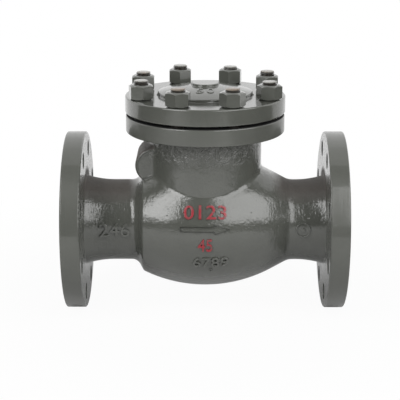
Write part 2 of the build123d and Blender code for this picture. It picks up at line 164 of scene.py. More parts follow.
class Shader:
    """A material whose nodes read the piece's own coordinates."""

    def __init__(self, name: str) -> None:
        """Starts the material.

        Args:
            name: The material's name.
        """
        self.material = bpy.data.materials.new(name)
        self.material.use_nodes = True
        self.tree = self.material.node_tree
        self.principled = self.tree.nodes["Principled BSDF"]
        self.place = self.tree.nodes.new("ShaderNodeTexCoord").outputs["Object"]

    def feed(self, socket: bpy.types.NodeSocket, value: "Field | float | bpy.types.NodeSocket") -> None:
        """Links a value to an input, or writes it there.

        Args:
            socket: The input.
            value: A field, an output socket, or a plain number.
        """
        if isinstance(value, Field):
            self.tree.links.new(value.socket, socket)
        elif isinstance(value, bpy.types.NodeSocket):
            self.tree.links.new(value, socket)
        else:
            socket.default_value = value

    def axes(self) -> tuple[Field, Field, Field]:
        """The three coordinates of the point that is shaded."""
        split = self.tree.nodes.new("ShaderNodeSeparateXYZ")
        self.tree.links.new(self.place, split.inputs[0])
        return tuple(Field(self, output) for output in split.outputs)

    def stretched(self, along: Triple) -> bpy.types.NodeSocket:
        """The coordinates, scaled on each axis.

        Args:
            along: The scale on each axis.

        Returns:
            The new coordinates.
        """
        node = self.tree.nodes.new("ShaderNodeMapping")
        node.inputs["Scale"].default_value = along
        self.tree.links.new(self.place, node.inputs["Vector"])
        return node.outputs[0]

    def noise(
        self, size: float, detail: float = 2.0, roughness: float = 0.5, lean: float = 0.0,
        place: bpy.types.NodeSocket | None = None,
    ) -> Field:
        """Soft noise about zero.

        Args:
            size: The width of its lumps.
            detail: How many finer layers it has.
            roughness: How strong those layers are.
            lean: How much it is warped.
            place: Other coordinates than the piece's own.

        Returns:
            The noise, from about -0.5 to 0.5.
        """
        node = self.tree.nodes.new("ShaderNodeTexNoise")
        node.inputs["Scale"].default_value = 1 / size
        node.inputs["Detail"].default_value = detail
        node.inputs["Roughness"].default_value = roughness
        node.inputs["Distortion"].default_value = lean
        self.tree.links.new(place or self.place, node.inputs["Vector"])
        return Field(self, node.outputs["Fac"]) - 0.5

    def pits(self, size: float, width: float) -> Field:
        """Round pits scattered over the surface.

        Args:
            size: The distance between them.
            width: A pit's radius as a share of that distance.

        Returns:
            A mask that is 1 in the middle of each pit.
        """
        node = self.tree.nodes.new("ShaderNodeTexVoronoi")
        node.inputs["Scale"].default_value = 1 / size
        self.tree.links.new(self.place, node.inputs["Vector"])
        return Field(self, node.outputs["Distance"]).falls(width / 2, width)

    def blend(
        self, share: Field, low: "Colour | bpy.types.NodeSocket", high: "Colour | bpy.types.NodeSocket",
    ) -> bpy.types.NodeSocket:
        """Mixes two colours.

        Args:
            share: The share of the second colour.
            low: The first colour, or a socket that gives it.
            high: The second colour, or a socket that gives it.

        Returns:
            The mixed colour.
        """
        node = self.tree.nodes.new("ShaderNodeMix")
        node.data_type = "RGBA"
        self.tree.links.new(share.socket, node.inputs["Factor"])
        for socket, colour in ((node.inputs[6], low), (node.inputs[7], high)):
            if isinstance(colour, bpy.types.NodeSocket):
                self.tree.links.new(colour, socket)
            else:
                socket.default_value = (*colour, 1.0)
        return node.outputs[2]

    def raise_by(self, height: Field) -> None:
        """Bumps the surface by a height in metres."""
        bump = self.tree.nodes.new("ShaderNodeBump")
        bump.inputs["Strength"].default_value = 1.0
        bump.inputs["Distance"].default_value = 1.0
        self.tree.links.new(height.socket, bump.inputs["Height"])
        for name in ("Normal", "Coat Normal"):
            self.tree.links.new(bump.outputs[0], self.principled.inputs[name])

    def set(self, name: str, value: "Field | float | bpy.types.NodeSocket") -> None:
        """Feeds one input of the Principled shader."""
        self.feed(self.principled.inputs[name], value)


def shaded(colour: Colour, share: float) -> Colour:
    """A colour made lighter or darker by a share."""
    return tuple(part * share for part in colour)


def distance(across: Field, up: Field) -> Field:
    """How far a point lies from an axis, from its two distances along the other axes."""
    return (across * across + up * up).root()


class Lathe(Enum):
    """Which way a rim was turned."""

    FLOW = "flow"
    NECK = "neck"


@dataclass(frozen=True)
class Enamel:
    """Gloss enamel over steel, uneven in depth, with its peel and the fine grain under it."""

    name: str
    colour: Colour = (0.077, 0.080, 0.070)
    roughness: float = 0.16
    coat: float = 0.85
    coat_roughness: float = 0.05
    grain: float = 0.03 * MM
    peel: float = 0.05 * MM
    line_depth: float = 0.06 * MM
    thin: float = 1.12
    thick: float = 0.86
    # Below this height the coat is left off and the colour is painted near-black, as painted shade in the gap
    # under the part.
    dark_below: float | None = None

    def tone(self, shader: Shader) -> Field:
        """The uneven depth of the coat, as a mask from 0, thin and light, to 1, thick and dark."""
        cloud = shader.noise(38 * MM, 3.0, 0.6)
        speck = shader.noise(2.2 * MM, 4.0, 0.7)
        return (cloud * 1.1 + speck * 0.6 + 0.5).worked("ADD", 0.0, clamp=True)

    def lines(self, shader: Shader, axis: Lathe) -> Field:
        """The turning lines on a rim, as a height.

        Args:
            shader: The shader that they are added to.
            axis: The axis that the rim was turned about.

        Returns:
            The height in metres.
        """
        scale = (1.0, 0.02, 0.02) if axis is Lathe.FLOW else (0.02, 0.02, 1.0)
        coarse = shader.noise(1.5 * MM, 2.0, 0.7, place=shader.stretched(scale))
        return coarse * self.line_depth

    def make(self) -> bpy.types.Material:
        """Builds the material."""
        shader = Shader(self.name)
        tone = self.tone(shader)
        paint = shader.blend(tone, shaded(self.colour, self.thin), shaded(self.colour, self.thick))
        dull = tone * 0.08 + self.roughness
        if self.dark_below is None:
            shader.set("Coat Weight", self.coat)
        else:
            # Painted shade: near-black below dark_below, for the shade in the gap at the joint.
            joint = shader.axes()[2].falls(self.dark_below, 0.2 * MM)
            paint = shader.blend(joint, paint, GAP_SHADE)
            dull = dull + joint * 0.7
            shader.set("Coat Weight", joint.flipped() * self.coat)
        shader.set("Base Color", paint)
        shader.set("Roughness", dull)
        shader.set("Coat Roughness", self.coat_roughness)
        peel = shader.noise(5.5 * MM, 1.5, 0.5) * self.peel
        shader.raise_by(peel + shader.noise(1.1 * MM, 3.0, 0.6) * self.grain)
        return shader.material


class BodyZones:
    """Masks over the body's surface, each 1 inside its zone and 0 outside it."""

    edge = 0.6 * MM

    def __init__(self, shader: Shader) -> None:
        """Measures how far the shaded point lies from the body's axes.

        Args:
            shader: The shader that reads the masks.
        """
        self.x, self.y, self.z = shader.axes()
        self.from_middle = (self.x - MIDDLE_X).size()
        self.from_flow = distance(self.y, self.z)
        self.from_neck = distance(self.x - MIDDLE_X, self.y)

    def end_rim(self) -> Field:
        """The turned rims of the end flanges."""
        rim = self.from_flow.rises(END_RIM_RADIUS - 1.2 * MM, self.edge)
        return rim * self.from_middle.rises(HALF_LENGTH - END_FLANGE_THICKNESS + 0.6 * MM, self.edge)

    def bonnet_rim(self) -> Field:
        """The turned rim of the bonnet flange."""
        rim = self.from_neck.rises(COVER_RIM_RADIUS - 2.4 * MM, self.edge)
        return rim * self.z.rises(BONNET_TOP - BONNET_THICKNESS + 0.8 * MM, self.edge)

    def sealing_face(self) -> Field:
        """The raised faces round the two ports."""
        outer = self.from_flow.falls(SEALING_FACE_LIMIT, self.edge)
        face = self.from_middle.rises(HALF_LENGTH - 0.8 * MM, self.edge) * outer
        return face * self.from_flow.rises(PORT_RADIUS + 0.4 * MM, self.edge)

    def inside(self) -> Field:
        """The ports, the chamber and the neck's bore, up to the middle of the walls."""
        port = self.from_flow.falls((PORT_RADIUS + WAIST_RADIUS) / 2, self.edge)
        lifted = self.from_flow + (WALL_MIDDLE_CROWN - WALL_MIDDLE_RADIUS)
        belly = distance(lifted, self.from_middle).falls(WALL_MIDDLE_CROWN, self.edge)
        belly = belly * (self.x - MIDDLE_X).rises(-CHAMBER_FRONT, self.edge)
        neck = self.from_neck.falls((NECK_RADIUS + NECK_BORE_RADIUS) / 2, self.edge)
        return port.either(belly).either(neck * self.z.rises(0.0, self.edge))

    def flange_back(self) -> Field:
        """The rough backs of the end flanges."""
        return self.from_middle.rises(HALF_LENGTH - 36 * MM, 8 * MM) * self.from_flow.rises(56 * MM, 6 * MM)

    def waist(self) -> Field:
        """The two waists between the end flanges and the belly."""
        return self.from_middle.rises(64 * MM, 12 * MM) * self.from_flow.falls(58 * MM, 6 * MM)

    def high_neck(self) -> Field:
        """The neck under the bonnet flange, where the skin is wrinkled."""
        return self.z.rises(82 * MM, 34 * MM) * self.from_neck.falls(NECK_RADIUS + 6 * MM, 4 * MM)

    def dusty(self) -> Field:
        """The upper sides of the waists and of the barrel, which are dry and dusty."""
        waist_top = (self.z - self.from_flow * 0.72).rises(0.0, 12 * MM)
        waist_top = waist_top * self.from_middle.rises(78 * MM, 14 * MM) * self.waist()
        from_hinge = distance(self.x - HINGE_X, self.z - HINGE_Z)
        barrel = from_hinge.rises(18.3 * MM, 0.6 * MM) * from_hinge.falls(23 * MM, 2 * MM)
        barrel = barrel * self.y.size().falls(29 * MM, 1 * MM)
        return waist_top.either(barrel * self.z.rises(HINGE_Z + 5 * MM, 8 * MM))

    def joint(self) -> Field:
        """The face under the cover, where the shade of the gap is painted near-black."""
        return self.z.rises(BONNET_TOP - 0.3 * MM, 0.2 * MM)


@dataclass(frozen=True)
class CastingEnamel(Enamel):
    """The body's finish: enamel on the cast skin and on the turned rims, bare faces and a dark inside."""

    thick: float = 0.84
    skin: float = 0.42 * MM
    back_height: float = 0.7 * MM
    streak_height: float = 0.32 * MM
    wrinkle_height: float = 3.6 * MM
    pit_depth: float = 0.25 * MM
    serration_pitch: float = 0.8 * MM
    serration_height: float = 0.03 * MM
    bare: Colour = (0.42, 0.41, 0.39)
    inside: Colour = (0.09, 0.075, 0.065)
    rust: Colour = (0.14, 0.085, 0.055)
    light_dust: Colour = (0.092, 0.083, 0.074)
    dark_dust: Colour = (0.062, 0.056, 0.05)

    def make(self) -> bpy.types.Material:
        """Builds the material."""
        shader = Shader(self.name)
        zones = BodyZones(shader)
        face = zones.sealing_face()
        inside = zones.inside() * face.flipped()
        turned = zones.end_rim().either(zones.bonnet_rim())
        dust = zones.dusty()
        joint = zones.joint()
        shader.raise_by(self.relief(shader, zones, turned, face))

        tone = self.tone(shader)
        paint = shader.blend(tone, shaded(self.colour, self.thin), shaded(self.colour, self.thick))
        paint = shader.blend(dust, paint, shader.blend(tone, self.light_dust, self.dark_dust))
        # Painted shade: the face under the cover is near-black, for the shade in the gap.
        paint = shader.blend(joint, paint, GAP_SHADE)
        rusty = shader.noise(9 * MM, 4.0, 0.7).rises(0.05, 0.2)
        dark = shader.blend(rusty, self.inside, self.rust)
        stain = shader.noise(14 * MM, 3.0).rises(0.0, 0.4)
        steel = shader.blend(stain, self.bare, shaded(self.bare, 0.8))
        shader.set("Base Color", shader.blend(face, shader.blend(inside, paint, dark), steel))
        shader.set("Metallic", face)
        dull = tone * 0.06 + turned * 0.16 + self.roughness
        shader.set("Roughness", dull + inside * 0.45 + face * 0.12 + dust * 0.45 + joint * 0.6)
        glossy = dust.flipped() * joint.flipped() * inside.flipped() * face.flipped()
        shader.set("Coat Weight", (turned * -0.3 + 1.0) * glossy * self.coat)
        shader.set("Coat Roughness", self.coat_roughness)
        return shader.material

    def relief(self, shader: Shader, zones: BodyZones, turned: Field, face: Field) -> Field:
        """The surface's height: the cast skin, the lines on the rims and the serrated faces.

        Args:
            shader: The shader that it is added to.
            zones: The masks over the body.
            turned: The mask of the turned rims.
            face: The mask of the sealing faces.

        Returns:
            The height in metres.
        """
        lines = self.lines(shader, Lathe.FLOW) * zones.end_rim()
        lines = lines + self.lines(shader, Lathe.NECK) * zones.bonnet_rim()
        serrations = (zones.from_flow * (2 * math.pi / self.serration_pitch)).worked("SINE")
        smooth = shader.noise(4.0 * MM, 2.0, 0.5) * (0.02 * MM)
        cast = self.cast_skin(shader, zones) * (turned + face).flipped()
        return cast + lines + smooth * turned + serrations * self.serration_height * face

    def cast_skin(self, shader: Shader, zones: BodyZones) -> Field:
        """The cast skin under the coat, lumpy and calmer low down, with streaks and wrinkles.

        Args:
            shader: The shader that it is added to.
            zones: The masks over the body.

        Returns:
            The height in metres.
        """
        calm = zones.z.rises(-20 * MM, 40 * MM) * 0.7 + 0.3
        lumps = shader.noise(11 * MM, 2.0, 0.55, 0.4) * self.skin
        peel = shader.noise(2.6 * MM, 3.0, 0.6) * (self.skin * 0.5)
        grain = shader.noise(0.9 * MM, 3.0, 0.65) * self.grain
        backs = shader.noise(2.4 * MM, 4.0, 0.7) * zones.flange_back() * self.back_height
        drawn_out = shader.stretched((1.0, 0.25, 0.25))
        streaks = shader.noise(3.4 * MM, 3.0, 0.6, place=drawn_out) * zones.waist() * self.streak_height
        wrinkles = shader.noise(8.0 * MM, 3.0, 0.65, 1.8) * zones.high_neck() * self.wrinkle_height
        pits = shader.pits(6.5 * MM, 0.12) * -self.pit_depth
        return (lumps + peel + grain) * calm + backs + streaks + wrinkles + pits * calm


@dataclass(frozen=True)
class Steel:
    """Bare steel, turned, ground or cast, with faint stains."""

    name: str
    colour: Colour
    roughness: float = 0.3
    metallic: float = 1.0
    pitch: float = 0.5 * MM
    depth: float = 0.006 * MM
    centre: Triple = (0.0, 0.0, 0.0)
    about_flow: bool = True
    cast: float = 0.0

    def make(self) -> bpy.types.Material:
        """Builds the material."""
        shader = Shader(self.name)
        x, y, z = shader.axes()
        stain = shader.noise(11 * MM, 4.0, 0.65).rises(0.02, 0.35)
        shader.set("Base Color", shader.blend(stain, self.colour, shaded(self.colour, 0.72)))
        shader.set("Metallic", self.metallic)
        shader.set("Roughness", stain * 0.12 + self.roughness)
        across = y - self.centre[1] if self.about_flow else x - self.centre[0]
        radius = distance(across, z - self.centre[2])
        rings = (radius * (2 * math.pi / self.pitch)).worked("SINE") * self.depth
        skin = shader.noise(3.2 * MM, 4.0, 0.65) * self.cast
        shader.raise_by(rings + skin + shader.noise(0.7 * MM, 3.0) * (0.008 * MM))
        return shader.material


class StudEnd(Enum):
    """How a stud's end looks: its share of bare steel and how far it is domed."""

    PAINTED = (0.0, 0.7 * MM)
    WEATHERED = (0.4, 0.7 * MM)
    BRIGHT = (0.1, 0.4 * MM)
    WORN = (0.75, 1.4 * MM)


@dataclass(frozen=True)
class StudCoatWithPaintedLight:
    """A stud's end where the coat is thin over brown, rusty steel, painted lighter on top as painted light
    and near-black on its side as painted shade.
    """

    name: str
    bareness: float
    bare_from: float
    # Lighter than the nuts' enamel: painted top light on the stud's end.
    paint: Colour = (0.19, 0.19, 0.17)
    rust: Colour = (0.15, 0.115, 0.085)
    bright: Colour = (0.30, 0.26, 0.22)
    # Near-black painted shade on the stud's side below its end, where it goes into the nut.
    side: Colour = (0.022, 0.019, 0.015)

    def make(self) -> bpy.types.Material:
        """Builds the material."""
        shader = Shader(self.name)
        exposed_lit_end = shader.axes()[2].rises(self.bare_from, 0.3 * MM)
        patch = shader.noise(2.6 * MM, 4.0, 0.7).rises(0.12 - 0.3 * self.bareness, 0.16) * exposed_lit_end
        speck = shader.noise(0.9 * MM, 3.0, 0.7).rises(0.12, 0.3)
        bare = shader.blend(speck, self.rust, self.bright)
        # Painted shade below the end and painted top light on it.
        coat = shader.blend(exposed_lit_end, self.side, self.paint)
        shader.set("Base Color", shader.blend(patch, coat, bare))
        shader.set("Roughness", patch * 0.25 + 0.14)
        shader.set("Coat Weight", 0.6)
        shader.set("Coat Roughness", 0.08)
        shader.raise_by(shader.noise(1.4 * MM, 4.0, 0.7) * (0.25 * MM * (0.1 + self.bareness)))
        return shader.material


@dataclass(frozen=True)
class Graphite:
    """Pressed graphite sheet with lighter flakes."""

    name: str
    colour: Colour = (0.012, 0.012, 0.013)

    def make(self) -> bpy.types.Material:
        """Builds the material."""
        shader = Shader(self.name)
        flake = shader.noise(1.6 * MM, 4.0, 0.7).rises(0.1, 0.3)
        shader.set("Base Color", shader.blend(flake, self.colour, shaded(self.colour, 2.2)))
        shader.set("Roughness", flake * -0.15 + 0.6)
        shader.raise_by(shader.noise(1.2 * MM, 3.0) * (0.04 * MM))
        return shader.material


@dataclass(frozen=True)
class BrushedRed:
    """Red paint touched onto the raised marks by hand."""

    name: str
    colour: Colour = (0.26, 0.022, 0.030)
    worn: Colour = (0.12, 0.075, 0.07)

    def make(self) -> bpy.types.Material:
        """Builds the material."""
        shader = Shader(self.name)
        thin = shader.noise(3.0 * MM, 3.0, 0.65).rises(0.08, 0.16)
        shader.set("Base Color", shader.blend(thin, self.colour, self.worn))
        shader.set("Roughness", thin * 0.1 + 0.28)
        shader.raise_by(shader.noise(1.5 * MM, 3.0, 0.6) * (0.12 * MM))
        return shader.material


def dress(node: str, material: bpy.types.Material) -> None:
    """Gives a frame node its material.

    Args:
        node: The node's name.
        material: The material for all of its faces.
    """
    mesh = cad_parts[node].data
    mesh.materials.clear()
    mesh.materials.append(material)


def mesh_data(name: str, mesh: bmesh.types.BMesh) -> bpy.types.Mesh:
    """Writes a finished bmesh into a new mesh and frees it.

    Args:
        name: The new mesh's name.
        mesh: The bmesh.

    Returns:
        The new mesh.
    """
    data = bpy.data.meshes.new(name)
    mesh.to_mesh(data)
    mesh.free()
    return data


def add_piece(
    name: str, mesh: bpy.types.Mesh, body: str, material: bpy.types.Material,
) -> bpy.types.Object:
    """Links a finished mesh as a piece that rides on a body.

    Args:
        name: The piece's name.
        mesh: Its mesh, already in place.
        body: The frame body that it moves with.
        material: Its material.

    Returns:
        The new object.
    """
    mesh.materials.clear()
    mesh.materials.append(material)
    piece = bpy.data.objects.new(name, mesh)
    bpy.context.scene.collection.objects.link(piece)
    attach(piece, body)
    return piece


def curve_mesh(curve: bpy.types.Curve) -> bmesh.types.BMesh:
    """Turns a curve or a text into a mesh and removes the curve.

    Args:
        curve: The curve.

    Returns:
        Its mesh, with its doubles merged.
    """
    holder = bpy.data.objects.new(curve.name, curve)
    bpy.context.scene.collection.objects.link(holder)
    graph = bpy.context.evaluated_depsgraph_get()
    data = bpy.data.meshes.new_from_object(holder.evaluated_get(graph))
    bpy.data.objects.remove(holder)
    bpy.data.curves.remove(curve)
    mesh = bmesh.new()
    mesh.from_mesh(data)
    bpy.data.meshes.remove(data)
    bmesh.ops.remove_doubles(mesh, verts=mesh.verts, dist=1e-5)
    return mesh


class Skin:
    """The outer surface of a frame node, which flat outlines are laid on."""

    def __init__(self, node: str) -> None:
        """Prepares the search for the surface.

        Args:
            node: The frame node.
        """
        mesh = bmesh.new()
        mesh.from_mesh(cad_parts[node].data)
        self.tree = BVHTree.FromBMesh(mesh)
        mesh.free()

    def from_side(self, x: float, turn: float, reach: float = 0.15) -> Vector:
        """The skin's point at a place round the flow axis.

        Args:
            x: The place along the flow.
            turn: The angle above the near side, in radians.
            reach: How far out the search starts.

        Returns:
            The point.
        """
        out = Vector((0.0, -math.cos(turn), math.sin(turn)))
        start = Vector((x, 0.0, 0.0)) + out * reach
        return self.tree.ray_cast(start, -out)[0]

    def from_above(self, x: float, y: float) -> Vector:
        """The skin's highest point at a place."""
        start = Vector((x, y, COVER_HIGH.z + 0.05))
        return self.tree.ray_cast(start, Vector((0.0, 0.0, -1.0)))[0]

    def lay_on_side(self, mesh: bmesh.types.BMesh, x: float, turn: float) -> None:
        """Wraps a flat outline round the flow axis. Its x runs along the flow and its y up.

        Args:
            mesh: The outline, with its z as the height above the skin.
            x: Where its middle lies along the flow.
            turn: The angle of its middle above the near side.
        """
        radius = math.hypot(*self.from_side(x, turn).yz)
        for vertex in mesh.verts:
            along, up, height = vertex.co
            at = turn + up / radius
            out = Vector((0.0, -math.cos(at), math.sin(at)))
            vertex.co = self.from_side(x + along, at) + out * height

    def lay_on_top(self, mesh: bmesh.types.BMesh, x: float, y: float) -> None:
        """Lays a flat outline on the top, with its y running to the far side."""
        for vertex in mesh.verts:
            along, up, height = vertex.co
            vertex.co = self.from_above(x + along, y + up) + Vector((0.0, 0.0, height))


@dataclass
class CastMark:
    """A raised mark on the casting: plain digits, an outline arrow or a ring."""

    name: str
    width: float
    height: float
    proud: float = 0.9 * MM
    sunk: float = 0.5 * MM
    step: float = 1.5 * MM

    def digits(self, text: str, weight: float) -> bmesh.types.BMesh:
        """The flat digits, centred on the origin, with a rounded upper edge.

        Args:
            text: The digits.
            weight: How much wider the strokes are drawn, in the text's own units. Less than 0 thins them.

        Returns:
            The digits as a solid, z from -sunk to proud.
        """
        curve = bpy.data.curves.new(self.name, "FONT")
        curve.body = text
        curve.align_x = "CENTER"
        curve.align_y = "CENTER"
        curve.offset = weight
        curve.resolution_u = 4
        curve.extrude = 0.05
        curve.bevel_depth = 0.014
        curve.bevel_resolution = 1
        mesh = curve_mesh(curve)
        self.fit(mesh)
        return mesh

    def fit(self, mesh: bmesh.types.BMesh) -> None:
        """Scales and centres an outline to the mark's width, height and thickness.

        Args:
            mesh: The outline.
        """
        low = Vector([min(v.co[k] for v in mesh.verts) for k in range(3)])
        high = Vector([max(v.co[k] for v in mesh.verts) for k in range(3)])
        size = high - low
        target = Vector((self.width, self.height, self.proud + self.sunk))
        bmesh.ops.translate(mesh, verts=mesh.verts, vec=-(low + high) / 2)
        bmesh.ops.scale(mesh, verts=mesh.verts, vec=[t / s for t, s in zip(target, size)])
        bmesh.ops.translate(mesh, verts=mesh.verts, vec=(0.0, 0.0, (self.proud - self.sunk) / 2))

    def outline(self, mesh: bmesh.types.BMesh, line: float) -> bmesh.types.BMesh:
        """Turns the one face of a flat mesh into a raised line round its edge.

        Args:
            mesh: A mesh with one face on z = 0.
            line: The line's width.

        Returns:
            The same mesh, as a solid line.
        """
        face = mesh.faces[:][0]
        inset = bmesh.ops.inset_region(
            mesh, faces=[face], thickness=line, use_even_offset=True, use_boundary=True,
        )
        bmesh.ops.delete(mesh, geom=[face], context="FACES")
        self.thicken(mesh, inset["faces"])
        return mesh

    def thicken(self, mesh: bmesh.types.BMesh, faces: list[bmesh.types.BMFace]) -> None:
        """Pulls flat faces up into a solid with rounded upper edges.

        Args:
            mesh: The mesh that holds them.
            faces: The flat faces.
        """
        pulled = bmesh.ops.extrude_face_region(mesh, geom=faces, use_keep_orig=True)
        top = [e for e in pulled["geom"] if isinstance(e, bmesh.types.BMVert)]
        bmesh.ops.translate(mesh, verts=top, vec=(0.0, 0.0, self.proud + self.sunk))
        raised = set(top)
        edges = [e for e in mesh.edges if all(v in raised for v in e.verts) and self.is_border(e)]
        bmesh.ops.bevel(
            mesh, geom=edges, offset=min(0.3 * MM, self.proud / 3), affect="EDGES", segments=2,
            profile=0.5, material=-1,
        )
        bmesh.ops.translate(mesh, verts=mesh.verts, vec=(0.0, 0.0, -self.sunk))
        bmesh.ops.recalc_face_normals(mesh, faces=mesh.faces)

    @staticmethod
    def is_border(edge: bmesh.types.BMEdge) -> bool:
        """Whether an edge lies between a top face and a side."""
        upright = [abs(face.normal.z) < 0.5 for face in edge.link_faces]
        return any(upright) and not all(upright)

    def divide(self, mesh: bmesh.types.BMesh) -> None:
        """Cuts the mark across at even steps, so that it can follow a curved skin.

        Args:
            mesh: The flat mark.
        """
        for axis in range(2):
            low = min(v.co[axis] for v in mesh.verts)
            high = max(v.co[axis] for v in mesh.verts)
            normal = Vector((1.0, 0.0, 0.0)) if axis == 0 else Vector((0.0, 1.0, 0.0))
            for number in range(1, int((high - low) / self.step) + 1):
                everything = mesh.verts[:] + mesh.edges[:] + mesh.faces[:]
                cut = normal * (low + number * self.step)
                bmesh.ops.bisect_plane(mesh, geom=everything, plane_co=cut, plane_no=normal)
        bmesh.ops.triangulate(mesh, faces=[f for f in mesh.faces if len(f.verts) > 4])

    def finish(self, mesh: bmesh.types.BMesh, slot: str, material: bpy.types.Material) -> None:
        """Writes the laid mark as a piece on the valve.

        Args:
            mesh: The mark in place.
            slot: Not used.
            material: Its material.
        """
        data = mesh_data(self.name, mesh)
        data.shade_smooth()
        piece = add_piece(self.name, data, "valve", material)
        edges = piece.modifiers.new("edges", "WEIGHTED_NORMAL")
        edges.keep_sharp = True
        log.info("%s: %d faces", self.name, len(data.polygons))


@dataclass(frozen=True)
class DigitRow:
    """One row of plain digits, with its size and the place of its middle on the body."""

    name: str
    text: str
    width: float
    height: float
    proud: float
    along: float
    degrees_up: float
    is_red: bool = False


@dataclass
class Casting:
    """The body with its finish and its raised marks."""

    paint: CastingEnamel
    red: BrushedRed
    digit_weight: float = -0.004
    rows: tuple[DigitRow, ...] = (
        DigitRow("size_digits", "0123", 45.5 * MM, DIGIT_HEIGHT, 1.6 * MM, MIDDLE_X, 21.8, is_red=True),
        DigitRow("rating_digits", "45", 15.5 * MM, 14.0 * MM, 1.6 * MM, MIDDLE_X, -6.4, is_red=True),
        DigitRow("batch_digits", "6789", 39.0 * MM, 12.0 * MM, 2.0 * MM, MIDDLE_X + 6 * MM, -22.9),
        DigitRow("batch_mark", "0", 4.5 * MM, 4.5 * MM, 0.8 * MM, MIDDLE_X + 6 * MM, -32.0),
        DigitRow("waist_digits", "246", 33.0 * MM, DIGIT_HEIGHT, 2.5 * MM, 57.0 * MM, 0.8),
    )
    moulding_depth: float = 17 * MM
    fillet_steps: int = 10
    fillet_cuts: int = 12
    bead_radius: float = 17.4 * MM
    bead_thickness: float = 0.9 * MM
    bead_steps: int = 28

    def build(self) -> None:
        """Dresses the body and lays its marks on its skin."""
        coat = self.paint.make()
        dress("body", coat)
        log.info("body dressed")
        skin = Skin("body")
        red = self.red.make()
        for row in self.rows:
            mark = CastMark(row.name, row.width, row.height, row.proud)
            mesh = mark.digits(row.text, self.digit_weight)
            mark.divide(mesh)
            skin.lay_on_side(mesh, row.along, math.radians(row.degrees_up))
            mark.finish(mesh, "body_paint", red if row.is_red else coat)
        self.lay_arrow(skin, coat)
        self.lay_ring(skin, coat)
        self.add_fillet(skin, coat)

    def add_fillet(self, skin: Skin, coat: bpy.types.Material) -> None:
        """Adds the upright fillet between the barrel's near face and the neck.

        It is an open strip, and its faces point into the casting.

        Args:
            skin: The body's skin.
            coat: The body's material.
        """
        before_face = Vector((HINGE_X - 5 * MM, -0.15, HINGE_Z))
        face = skin.tree.ray_cast(before_face, Vector((0.0, 1.0, 0.0)))[0]
        centre_y = face.y - BARREL_FILLET
        reach = NECK_RADIUS + BARREL_FILLET
        centre = Vector((MIDDLE_X - math.sqrt(reach * reach - centre_y * centre_y), centre_y, 0.0))
        start = Vector((centre.x, face.y, HINGE_Z - self.moulding_depth))
        mesh = bmesh.new()
        first = mesh.verts.new(start)
        sweep = math.atan2(MIDDLE_X - centre.x, -centre_y)
        bmesh.ops.spin(
            mesh, geom=[first], cent=centre, axis=(0.0, 0.0, 1.0), dvec=(0.0, 0.0, 0.0), angle=-sweep,
            steps=self.fillet_steps, use_merge=False,
        )
        risen = bmesh.ops.extrude_edge_only(mesh, edges=mesh.edges[:])["geom"]
        top = [part for part in risen if isinstance(part, bmesh.types.BMVert)]
        bmesh.ops.translate(mesh, verts=top, vec=(0.0, 0.0, 2 * self.moulding_depth))
        upright = [e for e in mesh.edges if abs(e.verts[0].co.z - e.verts[1].co.z) > 1 * MM]
        bmesh.ops.subdivide_edges(mesh, edges=upright, cuts=self.fillet_cuts, use_grid_fill=True)
        self.finish_moulding("barrel_fillet", mesh, coat)
        self.add_bead(face.y, coat)

    def add_bead(self, face_y: float, coat: bpy.types.Material) -> None:
        """Adds the raised edge round the part of the barrel's face that stands clear of the neck.

        Args:
            face_y: Where the barrel's face lies.
            coat: The body's material.
        """
        # An arc round the hinge, in degrees, and two points that bring the edge up beside the neck
        start, sweep, radius = 91, 141, self.bead_radius
        path = []
        for step in range(self.bead_steps + 1):
            angle = math.radians(start + sweep * step / self.bead_steps)
            path.append((HINGE_X + radius * math.cos(angle), HINGE_Z + radius * math.sin(angle)))
        path += [(HINGE_X - 1.6 * MM, HINGE_Z - 10.4 * MM), (HINGE_X - 0.4 * MM, HINGE_Z - 9.0 * MM)]
        curve = bpy.data.curves.new("barrel_bead", "CURVE")
        curve.dimensions = "3D"
        curve.bevel_depth = self.bead_thickness
        curve.bevel_resolution = 3
        spline = curve.splines.new("POLY")
        spline.points.add(len(path) - 1)
        for point, (x, z) in zip(spline.points, path):
            point.co = (x, face_y, z, 1.0)
        spline.use_cyclic_u = True
        self.finish_moulding("barrel_bead", curve_mesh(curve), coat)

    def finish_moulding(self, name: str, mesh: bmesh.types.BMesh, coat: bpy.types.Material) -> None:
        """Writes a small form of the casting as a piece on the valve.

        Args:
            name: The piece's name.
            mesh: Its mesh, in place.
            coat: The body's material.
        """
        data = mesh_data(name, mesh)
        data.shade_smooth()
        add_piece(name, data, "valve", coat)
        log.info("%s: %d faces", name, len(data.polygons))

    def lay_arrow(self, skin: Skin, coat: bpy.types.Material) -> None:
        """Lays the raised outline of an arrow that points down the flow.

        Args:
            skin: The body's skin.
            coat: The body's material.
        """
        length, half_shaft, half_head, head = 52.5 * MM, 2.6 * MM, 5.4 * MM, 16 * MM
        mark = CastMark("flow_arrow", length, 2 * half_head, 1.5 * MM)
        tail, neck, tip = -length / 2, length / 2 - head, length / 2
        mesh = bmesh.new()
        lower = [(tail, -half_shaft), (neck, -half_shaft), (neck, -half_head), (tip, 0.0)]
        upper = [(neck, half_head), (neck, half_shaft), (tail, half_shaft)]
        mesh.faces.new([mesh.verts.new((a, b, 0.0)) for a, b in lower + upper])
        # The new face has no normal yet, so the inset has no width, and the line is a thin wall.
        mark.outline(mesh, 1.1 * MM)
        mark.divide(mesh)
        skin.lay_on_side(mesh, MIDDLE_X, math.radians(7.4))
        mark.finish(mesh, "body_paint", coat)

